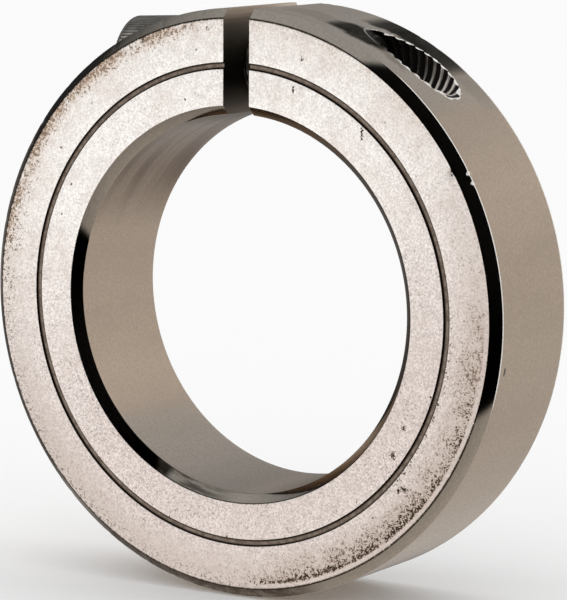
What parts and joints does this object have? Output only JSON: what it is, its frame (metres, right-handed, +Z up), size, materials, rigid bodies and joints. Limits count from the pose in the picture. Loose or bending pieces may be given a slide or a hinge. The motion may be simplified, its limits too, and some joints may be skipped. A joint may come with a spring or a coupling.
{
  "type": "shaft collar",
  "caption": "One-piece clamping shaft collar: a chamfered steel ring with a slit and a turned groove, closed onto a shaft by a tangential socket head cap screw.",
  "frame": {"origin": "on the bore's axis, halfway across the width, which is the centre of the ring", "axes": "+Y along the bore, away from the grooved front face; +Z up through the slit; +X from the screw's head side to its tip side"},
  "size_m": [0.0698, 0.0174, 0.0698],
  "materials": {
    "plated_steel": "satin, with stained and speckled faces",
    "screw_steel": "satin, knurled head"
  },
  "bodies": {
    "ring": {"clamp_ring": "plated_steel"},
    "screw": {"clamp_screw": "screw_steel"}
  },
  "joints": [
    {"name": "screw_turn", "type": "hinge", "parent": "ring", "child": "screw", "pos_m": [0, 0, 0.0279], "axis": [0.9991, 0, 0.0419], "range_deg": [0, 300]}
  ]
}
